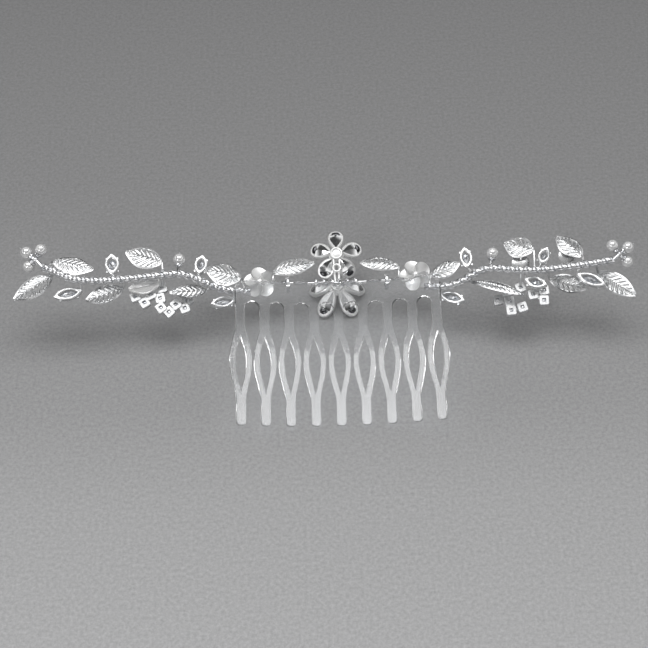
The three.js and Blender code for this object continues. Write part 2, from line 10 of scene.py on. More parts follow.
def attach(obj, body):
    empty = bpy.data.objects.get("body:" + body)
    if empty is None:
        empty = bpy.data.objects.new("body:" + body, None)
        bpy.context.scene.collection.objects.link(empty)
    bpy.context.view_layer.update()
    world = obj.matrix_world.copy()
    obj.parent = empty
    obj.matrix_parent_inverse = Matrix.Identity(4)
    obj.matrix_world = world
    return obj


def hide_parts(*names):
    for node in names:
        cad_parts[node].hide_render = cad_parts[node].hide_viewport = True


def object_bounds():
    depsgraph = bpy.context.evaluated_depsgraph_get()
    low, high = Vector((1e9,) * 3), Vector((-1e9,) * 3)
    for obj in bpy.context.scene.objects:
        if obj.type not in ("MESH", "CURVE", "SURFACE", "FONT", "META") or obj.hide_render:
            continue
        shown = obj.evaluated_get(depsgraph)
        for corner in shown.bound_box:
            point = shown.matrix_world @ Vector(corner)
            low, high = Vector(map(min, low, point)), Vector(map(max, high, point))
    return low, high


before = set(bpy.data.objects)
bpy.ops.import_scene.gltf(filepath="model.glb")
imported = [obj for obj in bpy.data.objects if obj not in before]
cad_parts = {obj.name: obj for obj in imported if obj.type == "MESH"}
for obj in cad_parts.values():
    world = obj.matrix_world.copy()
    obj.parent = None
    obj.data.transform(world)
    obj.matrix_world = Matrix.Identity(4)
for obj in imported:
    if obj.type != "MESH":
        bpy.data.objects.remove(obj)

cad_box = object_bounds()

# ---- Driving dimensions, mm ----
# In the comb's own frame x runs along it, y from the tooth tips to the spine, and z to the head side.
LEAN = math.radians(22)  # the comb plane above the table
GAP = 0.3  # the design's clearance between pieces

TEETH = 9
PITCH = 8.05
COMB_THICK = 1.7
COMB_RADIUS = 100
COMB_EDGE = 0.22  # the moulded round of its edges
CORNER = 3  # rise of the spine's two rounded ends
SPINE_TOP = 49.1
SCALLOP = 1.2  # how deep the valley over each tooth is
SLOT_TOP = 42.1
STEM_HALF = 1.48
LOOP_TOP = 33
LOOP_MID = 22
LOOP_HALF = 3.55
LOOP_SHOULDER = 1.9  # half width where a loop leaves its stem
LOOP_FOOT = 1.6
LOOP_BOTTOM = 8.6
EYE_TOP = 30.5
EYE_BOTTOM = 10.5
EYE_HALF = 1.95
EYE_SHOULDER = 0.9
EYE_FOOT = 0.5
TIP_ROUND = 0.5
TIP_CURL = 4.4
CURL_FROM = 33

TIE_Y = 46.1
TIE_TURNS = 3
TIE_TOOTH = 2  # counted from the middle tooth
TIE_WIRE = 0.27
TIE_SPREAD = 1.1  # along the rail, over all turns
TIE_SQUARE = 0.7  # under 1 makes the turns squarer than an ellipse
TIE_STEPS = 24  # per turn
RAIL_WIRE = 0.55
RAIL_STATIONS = 5  # on each side of the middle
WOUND_HALF = 7.5
WOUND_LAY = 2.6
WOUND_OUT = 0.95
WOUND_WIRE = 0.52
WOUND_STEP = 0.15

STRAND = 0.75
STRAND_APART = 0.62  # from the rope's middle to a strand's
ROPE_LAY = 5.6  # one full turn of the twist
ROPE_STATIONS = 44
ROPE_STEP = 0.4

LEAF_THICK = 0.42
LEAF_CUP = 0.6
LEAF_END = 0.22  # half width of a blade's two ends
LEAF_SWEEP = 0.6  # how far the edges lead the middle line
LEAF_ACROSS = 26
VEIN_HIGH = 0.22
VEIN_WIDE = 0.28
RIM_HIGH = 0.24
RIM_WIDE = 0.22
RIB_PITCH = 1.6
RIB_HIGH = 0.26
RIB_WIDE = 0.27
STALK = 0.42
STALK_REACH = 9  # a leaf further from the stem than this has no stalk
STALK_STOP = 0.9  # stalks end this far from the stem's middle

STONE_RIM = 0.75
STONE_DEPTH = 2.0
TABLE = 0.6  # width of a stone's table over its girdle
PETAL_TABLE = 0.62
BEAD_CAP = 1.25
BEAD_FIT = 0.16  # between a bead and its cap
FAN_HUB = 0.95
FAN_STALK = 0.75
CUP = 3.2
CUP_HOLE = 1.4
CUP_HIGH = 1.9
CUP_WALL = 0.4
CUP_LINK = 4.2  # cups nearer to each other than this are joined
HOLE_APOTHEM = CUP_HOLE / 2 * math.cos(math.pi / 6)  # the design's holes are hexagons

PETALS = 5
PETAL_WIDTH = 5.9
PETAL_INNER = 1.6
FOIL_AT = 0.31  # of a petal's length, outwards from its middle
FOIL_LONG = 0.75
FOIL_WIDE = 1.35
FOIL_LAYERS = ((1, 0.5), (0.9, 0.95), (0.5, 1.1))  # scale and height
CRYSTAL_DROP = 2.4  # from a flower's hub to its centre stone
BOSS = ((1.0, -1.9), (2.5, -1.6), (2.5, -1.0), (1.6, -0.6), (2.0, 0.2), (1.9, 0.75), (1.2, 1.0), (0.4, 1.08))
HUB_RING = 1.75
POST_RING = 1.2
RING_WIRE = 0.42
POST = 0.4
DISC_PETAL = 2.75
DISC_THICK = 0.45
DISC_BOSS = ((0.8, -1.6), (1.4, -1.4), (1.4, -0.4), (1.1, 0.3), (0.7, 0.75), (0.2, 0.85))  # radius and height


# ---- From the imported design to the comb's own frame ----
def comb_to_row():
    lean = Matrix.Rotation(LEAN, 4, "X")
    flat = [lean.inverted() @ (v.co * 1000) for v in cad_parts["comb"].data.vertices]
    xs, ys, zs = zip(*flat)
    corner = Vector(((min(xs) + max(xs)) / 2, min(ys), min(zs) + COMB_THICK / 2))
    return Matrix.Scale(0.001, 4) @ lean @ Matrix.Translation(corner)


TO_ROW = comb_to_row()
TO_COMB = TO_ROW.inverted()


def points(*nodes):
    return [TO_COMB @ v.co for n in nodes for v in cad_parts[n].data.vertices]


def middle(node):
    found = np.array(points(node))
    return Vector((found.min(0) + found.max(0)) / 2)


def faces_of(node):
    """Each face of a node: its centre, normal and area, in the comb's frame."""
    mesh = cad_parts[node].data
    turn = TO_COMB.to_3x3()
    for face in mesh.polygons:
        yield TO_COMB @ face.center, (turn @ face.normal).normalized(), face.area * 1e6


# ---- Mesh helpers ----
def side_of(along, hint=Vector((0, 0, 1))):
    side = along.cross(hint)
    if side.length < 1e-3:
        side = along.cross(Vector((0, 1, 0)))
    return side.normalized()


def skin(bm, rings, caps=True, wrap=False):
    made = [[bm.verts.new(p) for p in ring] for ring in rings]
    count = len(made[0])
    pairs = list(zip(made, made[1:]))
    if wrap:
        pairs.append((made[-1], made[0]))
    for one, two in pairs:
        for i in range(count):
            j = (i + 1) % count
            bm.faces.new((one[i], one[j], two[j], two[i]))
    if caps and not wrap:
        bm.faces.new(reversed(made[0]))
        bm.faces.new(made[-1])


def circle(centre, one, two, radius, sides):
    turns = (2 * math.pi * i / sides for i in range(sides))
    return [centre + one * (radius * math.cos(t)) + two * (radius * math.sin(t)) for t in turns]


def tube(bm, path, radius, sides=10, closed=False):
    """A round wire along a path; radius is a number or one for each point."""
    path = [Vector(p) for p in path]
    radii = radius if isinstance(radius, list) else [radius] * len(path)
    rings = []
    one = None
    for i, p in enumerate(path):
        back = path[i - 1] if i or closed else p
        ahead = path[(i + 1) % len(path)] if i + 1 < len(path) or closed else p
        along = (ahead - back).normalized()
        one = side_of(along) if one is None else (one - along * one.dot(along)).normalized()
        rings.append(circle(p, one, along.cross(one), radii[i], sides))
    skin(bm, rings, wrap=closed)


def plate(bm, steps, across, thick, at):
    """A closed sheet round the middle surface at(u, v), with u and v from 0 to 1."""
    h = 1e-3
    top, low = [], []
    for i in range(steps + 1):
        for j in range(across + 1):
            u, v = i / steps, j / across
            p = at(u, v)
            du = at(min(1, u + h), v) - at(max(0, u - h), v)
            dv = at(u, min(1, v + h)) - at(u, max(0, v - h))
            n = du.cross(dv)
            n = n.normalized() if n.length > 1e-12 else Vector((0, 0, 1))
            top.append(bm.verts.new(p + n * thick / 2))
            low.append(bm.verts.new(p - n * thick / 2))
    row = across + 1
    for i in range(steps):
        for j in range(across):
            a = i * row + j
            bm.faces.new((top[a], top[a + row], top[a + row + 1], top[a + 1]))
            bm.faces.new((low[a], low[a + 1], low[a + row + 1], low[a + row]))
    rim = [i * row for i in range(steps)] + [steps * row + j for j in range(across)]
    rim += [i * row + across for i in range(steps, 0, -1)] + list(range(across, 0, -1))
    for a, b in zip(rim, rim[1:] + rim[:1]):
        bm.faces.new((top[a], low[a], low[b], top[b]))


def turned(radius, count):
    """A round outline of count points."""
    turns = np.linspace(0, 2 * math.pi, count, endpoint=False)
    return [Vector((radius * math.cos(t), radius * math.sin(t))) for t in turns]


def drop_inner(bm, hull):
    inner = [v for v in hull["geom_interior"] if isinstance(v, bmesh.types.BMVert)]
    bmesh.ops.delete(bm, geom=inner, context="VERTS")


def placed(bm, build, matrix):
    """Runs build on a fresh mesh and adds the result, moved by matrix."""
    part = bmesh.new()
    build(part)
    part.transform(matrix)
    mesh = bpy.data.meshes.new("part")
    part.to_mesh(mesh)
    bm.from_mesh(mesh)
    part.free()
    bpy.data.meshes.remove(mesh)


def axes(origin, along, facing):
    x = along.normalized()
    y = facing.cross(x).normalized()
    z = x.cross(y)
    m = Matrix((x, y, z)).transposed().to_4x4()
    m.translation = origin
    return m


def piece(name, bm, material, replaced=(), smooth=38):
    """Turns a mesh in the comb's frame into a named piece on the one body."""
    bm.transform(TO_ROW)
    bmesh.ops.recalc_face_normals(bm, faces=bm.faces)
    mesh = bpy.data.meshes.new(name)
    bm.to_mesh(mesh)
    bm.free()
    if smooth:
        mesh.shade_smooth()
        mesh.set_sharp_from_angle(angle=math.radians(smooth))
    obj = bpy.data.objects.new(name, mesh)
    bpy.context.scene.collection.objects.link(obj)
    mesh.materials.append(material)
    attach(obj, "root")
    if replaced:
        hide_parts(*replaced)
    return obj


# ---- Materials ----
def new_material(name):
    material = bpy.data.materials.new(name)
    material.use_nodes = True
    nodes = material.node_tree.nodes
    shader = nodes["Principled BSDF"]
    place = nodes.new("ShaderNodeTexCoord")
    return material, shader, place.outputs["Object"]


def noise(material, coords, scale, detail=3.0, roughness=0.55):
    node = material.node_tree.nodes.new("ShaderNodeTexNoise")
    node.inputs["Scale"].default_value = scale
    node.inputs["Detail"].default_value = detail
    node.inputs["Roughness"].default_value = roughness
    material.node_tree.links.new(coords, node.inputs["Vector"])
    return node.outputs["Fac"]


def ramp(material, fac, stops):
    node = material.node_tree.nodes.new("ShaderNodeValToRGB")
    band = node.color_ramp
    while len(band.elements) < len(stops):
        band.elements.new(0.5)
    for element, (place, colour) in zip(band.elements, stops):
        element.position = place
        element.color = (*colour, 1)
    material.node_tree.links.new(fac, node.inputs["Fac"])
    return node.outputs["Color"]


def span(material, fac, low, high):
    node = material.node_tree.nodes.new("ShaderNodeMapRange")
    node.inputs["To Min"].default_value = low
    node.inputs["To Max"].default_value = high
    material.node_tree.links.new(fac, node.inputs["Value"])
    return node.outputs["Result"]


def bump(material, shader, fac, strength, distance):
    node = material.node_tree.nodes.new("ShaderNodeBump")
    node.inputs["Strength"].default_value = strength
    node.inputs["Distance"].default_value = distance
    material.node_tree.links.new(fac, node.inputs["Height"])
    material.node_tree.links.new(node.outputs["Normal"], shader.inputs["Normal"])


def metal(name, dark, light, rough):
    """Rhodium-bright plate with a faint cloudiness, fine polish marks and softer worn spots."""
    material, shader, coords = new_material(name)
    link = material.node_tree.links.new
    clouds = noise(material, coords, 420)
    link(ramp(material, clouds, [(0.35, dark), (0.7, light)]), shader.inputs["Base Color"])
    link(span(material, noise(material, coords, 900), *rough), shader.inputs["Roughness"])
    shader.inputs["Metallic"].default_value = 1
    bump(material, shader, noise(material, coords, 2600, 2), 0.12, 0.00004)
    return material


def crystal(name, dark, light):
    """Foil-backed cut glass: mirror-bright facets under a clear coat."""
    material, shader, coords = new_material(name)
    link = material.node_tree.links.new
    flecks = noise(material, coords, 700, 1)
    link(ramp(material, flecks, [(0.36, dark), (0.62, light)]), shader.inputs["Base Color"])
    link(span(material, noise(material, coords, 300), 0.02, 0.1), shader.inputs["Roughness"])
    shader.inputs["Metallic"].default_value = 0.75
    shader.inputs["Coat Weight"].default_value = 1
    shader.inputs["Coat Roughness"].default_value = 0.02
    shader.inputs["IOR"].default_value = 1.6
    return material


def pearl(name):
    """A silvery, slightly translucent bead."""
    material, shader, coords = new_material(name)
    link = material.node_tree.links.new
    clouds = noise(material, coords, 380)
    tint = ramp(material, clouds, [(0.3, (0.82, 0.82, 0.83)), (0.7, (0.99, 0.99, 0.98))])
    link(tint, shader.inputs["Base Color"])
    link(span(material, noise(material, coords, 800), 0.04, 0.14), shader.inputs["Roughness"])
    shader.inputs["Metallic"].default_value = 0.45
    shader.inputs["Transmission Weight"].default_value = 0.05
    shader.inputs["Coat Weight"].default_value = 0.8
    shader.inputs["Coat Roughness"].default_value = 0.06
    return material


def clear_plastic(name):
    """Moulded clear plastic, faintly milky, with flow marks. Lamps shine through it to the table."""
    material, shader, coords = new_material(name)
    nodes, link = material.node_tree.nodes, material.node_tree.links.new
    flow = noise(material, coords, 90, 2)
    tint = ramp(material, flow, [(0.3, (0.88, 0.885, 0.89)), (0.7, (0.95, 0.955, 0.96))])
    link(tint, shader.inputs["Base Color"])
    link(span(material, noise(material, coords, 260), 0, 0.04), shader.inputs["Roughness"])
    shader.inputs["IOR"].default_value = 1.49
    # painted sheen: the teeth are made milkier towards their tips, standing in for the lamp's reflection in
    # their lower loops
    split = nodes.new("ShaderNodeSeparateXYZ")
    link(coords, split.inputs["Vector"])
    painted_sheen = nodes.new("ShaderNodeMapRange")
    for socket, value in zip(("From Min", "From Max", "To Min", "To Max"), (*SHEEN_SPAN_Y, *PLASTIC_CLEAR)):
        painted_sheen.inputs[socket].default_value = value
    link(split.outputs["Y"], painted_sheen.inputs["Value"])
    link(painted_sheen.outputs["Result"], shader.inputs["Transmission Weight"])
    bump(material, shader, noise(material, coords, 160, 1), 0.06, 0.0001)
    through = nodes.new("ShaderNodeBsdfTransparent")
    through.inputs["Color"].default_value = (0.84, 0.85, 0.86, 1)
    rays = nodes.new("ShaderNodeLightPath")
    mixed = nodes.new("ShaderNodeMixShader")
    link(rays.outputs["Is Shadow Ray"], mixed.inputs["Fac"])
    link(shader.outputs["BSDF"], mixed.inputs[1])
    link(through.outputs["BSDF"], mixed.inputs[2])
    link(mixed.outputs["Shader"], nodes["Material Output"].inputs["Surface"])
    return material


PLASTIC_CLEAR = (0.9, 0.97)  # transmission at the tips, made milkier there as painted sheen, and from the middle of the loops up
SHEEN_SPAN_Y = (-0.012, 0.006)  # row frame y where the painted sheen fades in
SILVER = metal("silver", (0.76, 0.77, 0.79), (0.95, 0.95, 0.96), (0.12, 0.22))
BRIGHT = metal("bright_silver", (0.85, 0.86, 0.87), (0.98, 0.98, 0.98), (0.22, 0.38))
MIRROR = metal("mirror_silver", (0.72, 0.73, 0.74), (0.96, 0.96, 0.96), (0.06, 0.14))
SATIN = metal("satin_silver", (0.94, 0.94, 0.94), (1, 1, 0.99), (0.36, 0.5))
LEAF = metal("leaf_silver", (0.62, 0.63, 0.64), (0.84, 0.84, 0.84), (0.22, 0.34))
CRYSTAL = crystal("crystal", (0.5, 0.52, 0.56), (0.97, 0.98, 1))
FOIL = crystal("dark_foil", (0.01, 0.01, 0.012), (0.06, 0.06, 0.07))
PEARL = pearl("pearl")
PLASTIC = clear_plastic("clear_plastic")


# ---- Comb ----
def bezier(p0, p1, p2, p3, steps):
    """The points after p0 on a cubic."""
    p0, p1, p2, p3 = map(Vector, (p0, p1, p2, p3))
    for i in range(1, steps + 1):
        t = i / steps
        s = 1 - t
        yield p0 * s ** 3 + p1 * (3 * s * s * t) + p2 * (3 * s * t * t) + p3 * t ** 3


def tooth_side(x, side):
    """One side of a tooth, from the slot's round to the tip."""
    out = [Vector((x + side * STEM_HALF, LOOP_TOP))]
    out += bezier(
        (x + side * STEM_HALF, LOOP_TOP), (x + side * LOOP_SHOULDER, LOOP_TOP - 2.5),
        (x + side * LOOP_HALF, LOOP_MID + 5), (x + side * LOOP_HALF, LOOP_MID), 12)
    out += bezier(
        (x + side * LOOP_HALF, LOOP_MID), (x + side * LOOP_HALF, LOOP_MID - 6),
        (x + side * LOOP_FOOT, LOOP_BOTTOM + 4), (x + side * STEM_HALF, LOOP_BOTTOM), 12)
    out.append(Vector((x + side * STEM_HALF, 1.3)))
    out += bezier(
        (x + side * STEM_HALF, 1.3), (x + side * STEM_HALF, TIP_ROUND),
        (x + side * 1.1, 0), (x + side * 0.4, 0), 4)
    return out


def comb_outline():
    first = -(TEETH - 1) / 2 * PITCH
    out = []
    # the scalloped top edge from left to right
    left, right = first - STEM_HALF, -first + STEM_HALF
    valley = SPINE_TOP - SCALLOP
    shoulder = SPINE_TOP - SCALLOP / 2
    out.append(Vector((left, SPINE_TOP - CORNER)))
    out += bezier(
        (left, SPINE_TOP - CORNER), (left, valley - 0.6),
        (left + 0.6, valley), (first, valley), 5)
    for i in range(TEETH - 1):
        x = first + i * PITCH
        half = x + PITCH / 2
        end = x + PITCH
        out += bezier((x, valley), (x + 0.9, shoulder), (half - 1.6, SPINE_TOP), (half, SPINE_TOP), 6)
        out += bezier((half, SPINE_TOP), (half + 1.6, SPINE_TOP), (end - 0.9, shoulder), (end, valley), 6)
    out += bezier(
        (-first, valley), (right - 0.6, valley),
        (right, valley - 0.6), (right, SPINE_TOP - CORNER), 5)
    # the teeth from right to left, with a half-round slot top between two
    arc = PITCH / 2 - STEM_HALF
    for i in reversed(range(TEETH)):
        x = first + i * PITCH
        out += tooth_side(x, 1)
        out += reversed(tooth_side(x, -1))
        if i:
            for k in range(1, 12):
                turn = math.pi * k / 12
                across, up = arc * math.cos(turn), arc * math.sin(turn)
                out.append(Vector((x - PITCH / 2 + across, SLOT_TOP - arc + up)))
    return out


def eye_outline(x):
    right = list(bezier(
        (0, EYE_TOP), (EYE_SHOULDER, EYE_TOP - 3),
        (EYE_HALF, LOOP_MID + 3), (EYE_HALF, LOOP_MID), 10))
    right += bezier(
        (EYE_HALF, LOOP_MID), (EYE_HALF, LOOP_MID - 4),
        (EYE_FOOT, EYE_BOTTOM + 2.5), (0, EYE_BOTTOM), 10)
    left = [Vector((-p.x, p.y)) for p in reversed(right[:-1])]
    return [Vector((x + p.x, p.y)) for p in right + left + [Vector((0, EYE_TOP))]]


def bend(p):
    turn = p.x / COMB_RADIUS
    curl = TIP_CURL * max(0, 1 - p.y / CURL_FROM) ** 2
    reach = COMB_RADIUS - p.z
    return Vector((reach * math.sin(turn), p.y, COMB_RADIUS - reach * math.cos(turn) + curl))


def flat_comb():
    """The comb as a flat slab with its holes, from filled outlines."""
    curve = bpy.data.curves.new("comb_outline", "CURVE")
    curve.dimensions = "2D"
    curve.fill_mode = "BOTH"
    curve.extrude = COMB_THICK / 2
    middles = [(i - (TEETH - 1) / 2) * PITCH for i in range(TEETH)]
    outlines = [comb_outline()] + [eye_outline(x) for x in middles]
    for outline in outlines:
        spline = curve.splines.new("POLY")
        spline.points.add(len(outline) - 1)
        for point, p in zip(spline.points, outline):
            point.co = (p.x, p.y, 0, 1)
        spline.use_cyclic_u = True
    holder = bpy.data.objects.new("comb_outline", curve)
    bpy.context.scene.collection.objects.link(holder)
    graph = bpy.context.evaluated_depsgraph_get()
    mesh = bpy.data.meshes.new_from_object(holder.evaluated_get(graph))
    bm = bmesh.new()
    bm.from_mesh(mesh)
    bpy.data.objects.remove(holder)
    bpy.data.curves.remove(curve)
    bpy.data.meshes.remove(mesh)
    bmesh.ops.remove_doubles(bm, verts=bm.verts, dist=1e-4)
    return bm


def make_comb():
    bm = flat_comb()
    rims = [e for e in bm.edges if len(e.link_faces) == 2 and e.calc_face_angle(0) > 1
            and abs(e.verts[0].co.z - e.verts[1].co.z) < 1e-4]
    bmesh.ops.bevel(
        bm, geom=rims, offset=COMB_EDGE, segments=4, profile=0.5, affect="EDGES", clamp_overlap=True)
    # cuts across the slab let it bend smoothly
    half = (TEETH + 1) / 2 * PITCH
    cuts = [(Vector((x, 0, 0)), Vector((1, 0, 0))) for x in np.arange(-half, half, PITCH / 4)]
    cuts += [(Vector((0, y, 0)), Vector((0, 1, 0))) for y in range(2, int(SPINE_TOP), 2)]
    for co, no in cuts:
        geom = bm.verts[:] + bm.edges[:] + bm.faces[:]
        bmesh.ops.bisect_plane(bm, geom=geom, plane_co=co, plane_no=no, dist=1e-5)
    for v in bm.verts:
        v.co = bend(v.co)
    comb = piece("comb_clear", bm, PLASTIC, ["comb"], smooth=50)
    weighted = comb.modifiers.new("even_normals", "WEIGHTED_NORMAL")
    weighted.keep_sharp = True
    weighted.weight = 80


# ---- Vine stem ----
def rope_line(side):
    """The rope's centre line: the mean of the two packed strands' points over one turn of the twist."""
    cloud = np.array(points(f"stem_wire_{side}_a", f"stem_wire_{side}_b"))
    low, high = cloud[:, 0].min() + 0.6, cloud[:, 0].max() - 0.6
    stations = np.linspace(low, high, ROPE_STATIONS)
    line = []
    for x in stations:
        reach = min(ROPE_LAY / 2, max(1.2, min(x - low, high - x)))
        near = cloud[np.abs(cloud[:, 0] - x) < reach]
        slope = np.polyfit(near[:, 0] - x, near[:, 1:], 1)
        line.append(Vector((x, *slope[1])))
    return line


def resample(line, step):
    """Evenly spaced points on a polyline."""
    lengths = [0.0]
    for a, b in zip(line, line[1:]):
        lengths.append(lengths[-1] + (b - a).length)
    flat = np.array(line)
    stops = np.linspace(0, lengths[-1], int(lengths[-1] / step) + 1)
    return [Vector([np.interp(s, lengths, flat[:, k]) for k in range(3)]) for s in stops]


def rail_line():
    cloud = points("binding_wire")
    end = max(p.x for p in cloud)
    rail = []
    for k in range(-RAIL_STATIONS, RAIL_STATIONS + 1):
        x = k * end / RAIL_STATIONS
        near = [p for p in cloud if abs(p.x - x) < 0.7]
        mean = sum(near, Vector()) / len(near)
        rail.append(Vector((x, mean.y, mean.z)))
    return resample(rail, 1)


ROPES = {side: rope_line(side) for side in ("left", "right")}
ROPES["rail"] = rail_line()


def rope_near(p):
    """The nearest point of the stem's centre line."""
    return min((q for line in ROPES.values() for q in line), key=lambda q: (q - p).length)


def to_rope(p):
    return (rope_near(p) - p).length


def make_strands(side):
    line = resample(ROPES[side], ROPE_STEP)
    for letter, phase in (("a", 0), ("b", math.pi)):
        path = []
        for i, p in enumerate(line):
            along = (line[min(i + 1, len(line) - 1)] - line[max(i - 1, 0)]).normalized()
            up = Vector((0, 0, 1)).cross(along).normalized()
            out = along.cross(up)
            turn = phase + 2 * math.pi * i * ROPE_STEP / ROPE_LAY
            path.append(p + (up * math.cos(turn) + out * math.sin(turn)) * STRAND_APART)
        bm = bmesh.new()
        tube(bm, path, STRAND, 12)
        piece(f"twisted_wire_{side}_{letter}", bm, SILVER, [f"stem_wire_{side}_{letter}"])


def squarer(value):
    return math.copysign(abs(value) ** TIE_SQUARE, value)


def stalk(bm, *path):
    """A soldered wire along a path, from a part to the stem."""
    tube(bm, resample(path, 0.5), STALK, 8)


def short_of(foot, start):
    """The point of the stem's outside towards start."""
    return foot - (foot - start).normalized() * STALK_STOP


def make_binding():
    rail = ROPES["rail"]
    cloud = points("binding_wire")
    bm = bmesh.new()
    tube(bm, rail, RAIL_WIRE, 12)
    # a fine wire wound round the middle of the rail, where the flowers' posts are bound on
    wound = [p for p in resample(rail, WOUND_STEP) if abs(p.x) < WOUND_HALF]
    wrap = []
    for i, p in enumerate(wound):
        turn = 2 * math.pi * i * WOUND_STEP / WOUND_LAY
        wrap.append(p + Vector((0, WOUND_OUT * math.cos(turn), WOUND_OUT * math.sin(turn))))
    tube(bm, wrap, WOUND_WIRE, 8)
    rear = max(p.z for p in cloud) - TIE_WIRE
    for x in (-TIE_TOOTH * PITCH, TIE_TOOTH * PITCH):
        hub = min(rail, key=lambda p: abs(p.x - x))
        top = hub.y + RAIL_WIRE + TIE_WIRE
        front = hub.z - RAIL_WIRE - TIE_WIRE
        coil = []
        count = TIE_TURNS * TIE_STEPS
        for i in range(count + 1):
            turn = 2 * math.pi * i / TIE_STEPS
            y = (top + TIE_Y) / 2 + (top - TIE_Y) / 2 * squarer(math.sin(turn))
            z = (rear + front) / 2 + (rear - front) / 2 * squarer(math.cos(turn))
            coil.append(Vector((x + (i / count - 0.5) * TIE_SPREAD, y, z)))
        tube(bm, coil, TIE_WIRE, 8)
    piece("binding_rail", bm, SILVER, ["binding_wire"])


# ---- Leaves ----
def blade_axes(node):
    """A leaf's frame from its packed blade: base at the origin, x to the tip, z to the head side. Also
    its length, half width, the rise of its middle line, and the centre of a disc beside it, if any."""
    faces = list(faces_of(node))
    disc = [(c, a) for c, n, a in faces if abs(n.z) > 0.9995]
    if sum(a for _, a in disc) > 20:
        weight = sum(a for _, a in disc)
        disc_at = sum((c * a for c, a in disc), Vector()) / weight
        faces = [f for f in faces if abs(f[1].z) <= 0.9995]
    else:
        disc_at = None
    spread = sum(a * np.outer(n, n) for _, n, a in faces)
    facing = Vector(np.linalg.eigh(spread)[1][:, 2])
    facing = facing if facing.z > 0 else -facing
    broad = [(c, a) for c, n, a in faces if abs(n.dot(facing)) > 0.8]
    weight = sum(a for _, a in broad)
    centre = sum((c * a for c, a in broad), Vector()) / weight
    cov = sum(a * np.outer(c - centre, c - centre) for c, a in broad)
    along = Vector(np.linalg.eigh(cov)[1][:, 2])
    along = (along - facing * along.dot(facing)).normalized()
    far = [(c - centre).dot(along) for c, _ in broad]
    low, high = min(far) - 0.45, max(far) + 0.45
    if to_rope(centre + along * high) < to_rope(centre + along * low):
        along, low, high = -along, -high, -low
    side = facing.cross(along)
    half = max(abs((c - centre).dot(side)) for c, _ in broad) + 0.35
    core = [((c - centre).dot(along), (c - centre).dot(facing)) for c, _ in broad
            if abs((c - centre).dot(side)) < half * 0.45]
    rise = np.mean([h for t, h in core if abs(t - (low + high) / 2) < 1.6])
    ends = np.mean([h for t, h in core if t < low + 2 or t > high - 2])
    origin = centre + along * low + facing * ends
    return axes(origin, along, facing), high - low, half, max(0.0, rise - ends), disc_at


def leaf_surface(length, half, rise, ribs):
    """A stamped blade: raised rim, middle vein and slanting ribs."""
    def at(u, v):
        side = 2 * v - 1
        edge = abs(side)
        belly = math.sin(math.pi * min(1, u * 0.97 + 0.03) ** 0.85)
        width = LEAF_END + (half - LEAF_END) * belly
        x = length * u + LEAF_SWEEP * edge * belly
        z = rise * belly - LEAF_CUP * edge ** 2 * belly
        inner = min(1, max(0, (0.86 - edge) / 0.12)) * min(1, belly * 2)
        slant = (x - 0.9 * edge * half) / RIB_PITCH
        off = (slant - round(slant)) * RIB_PITCH
        z += ribs * RIB_HIGH * inner * math.exp(-((off / RIB_WIDE) ** 2))
        z += VEIN_HIGH * math.exp(-((edge * half / VEIN_WIDE) ** 2)) * min(1, belly * 2)
        z += RIM_HIGH * math.exp(-(((edge - 0.95) * half / RIM_WIDE) ** 2))
        return Vector((x, width * side, z))
    return at


def make_leaf(node):
    frame_of, length, half, rise, disc = blade_axes(node)
    ribs = 0 if node.startswith("petal") else 1
    bm = bmesh.new()
    surface = leaf_surface(length, half, rise, ribs)
    placed(bm, lambda b: plate(b, int(length * 6), LEAF_ACROSS, LEAF_THICK, surface), frame_of)
    # the stalk runs from the middle vein to the stem
    start = frame_of @ Vector((length * 0.3, 0, rise * 0.8 - LEAF_THICK / 2))
    base = frame_of @ Vector((-0.3, 0, 0))
    foot = rope_near(base)
    if (foot - base).length < STALK_REACH:
        stalk(bm, start, base, (base + foot) / 2 + Vector((0, 0, 0.3)), short_of(foot, base))
    if disc is not None:
        def dome(u, v):
            radius, turn = DISC_PETAL * (0.04 + 0.96 * u), 2 * math.pi * v
            return Vector((radius * math.cos(turn), radius * math.sin(turn), 0.5 * (1 - u * u)))
        placed(bm, lambda b: plate(b, 8, 32, 0.5, dome), Matrix.Translation(disc))
        tube(bm, [disc, frame_of @ Vector((length * 0.4, 0, rise))], STALK, 8)
    bmesh.ops.remove_doubles(bm, verts=bm.verts, dist=1e-5)
    piece(f"{node}_blade", bm, LEAF if ribs else SATIN, [node])


# ---- Stones ----
def oval(length, width, blunt=0.0, steps=9):
    """A pointed oval, or a drop when blunt is over 0, as one closed outline."""
    half = length / 2
    swell = width * 0.62
    low = [(-half, 0), (-half * 0.45, -swell), (half * (0.45 + blunt), -swell), (half, 0)]
    high = [(x, -y) for x, y in reversed(low)]
    return list(bezier(*low, steps)) + list(bezier(*high, steps))


def ring_of(bm, outer, inner, low, high, round_by=0.14):
    """A rim between two outlines with rounded lips."""
    def level(outline, z):
        return [Vector((p.x, p.y, z)) for p in outline]

    def mixed(t, z):
        return level([a.lerp(b, t) for a, b in zip(outer, inner)], z)
    near, far = low + round_by, high - round_by
    rings = [level(outer, near), level(outer, far), mixed(0.25, high), mixed(0.75, high)]
    rings += [level(inner, far), level(inner, near), mixed(0.75, low), mixed(0.25, low)]
    skin(bm, rings, wrap=True)


def cut_stone(bm, outline, deep, high, table=TABLE):
    """A cut stone: table at the front (-z), girdle, and pavilion facets to a keel at the back."""
    def scaled(k, z):
        return [Vector((p.x * k, p.y * k, z)) for p in outline]
    count = len(outline)
    rings = [scaled(table, -high), scaled(1, -0.12), scaled(1, 0.05), scaled(0.55, deep * 0.72)]
    made = [[bm.verts.new(p) for p in ring] for ring in rings]
    for one, two in zip(made, made[1:]):
        for i in range(count):
            j = (i + 1) % count
            bm.faces.new((one[i], one[j], two[j]))
            bm.faces.new((one[i], two[j], two[i]))
    bm.faces.new(made[0])
    back = bm.verts.new((0, 0, deep))
    for i in range(count):
        bm.faces.new((made[-1][i], made[-1][(i + 1) % count], back))


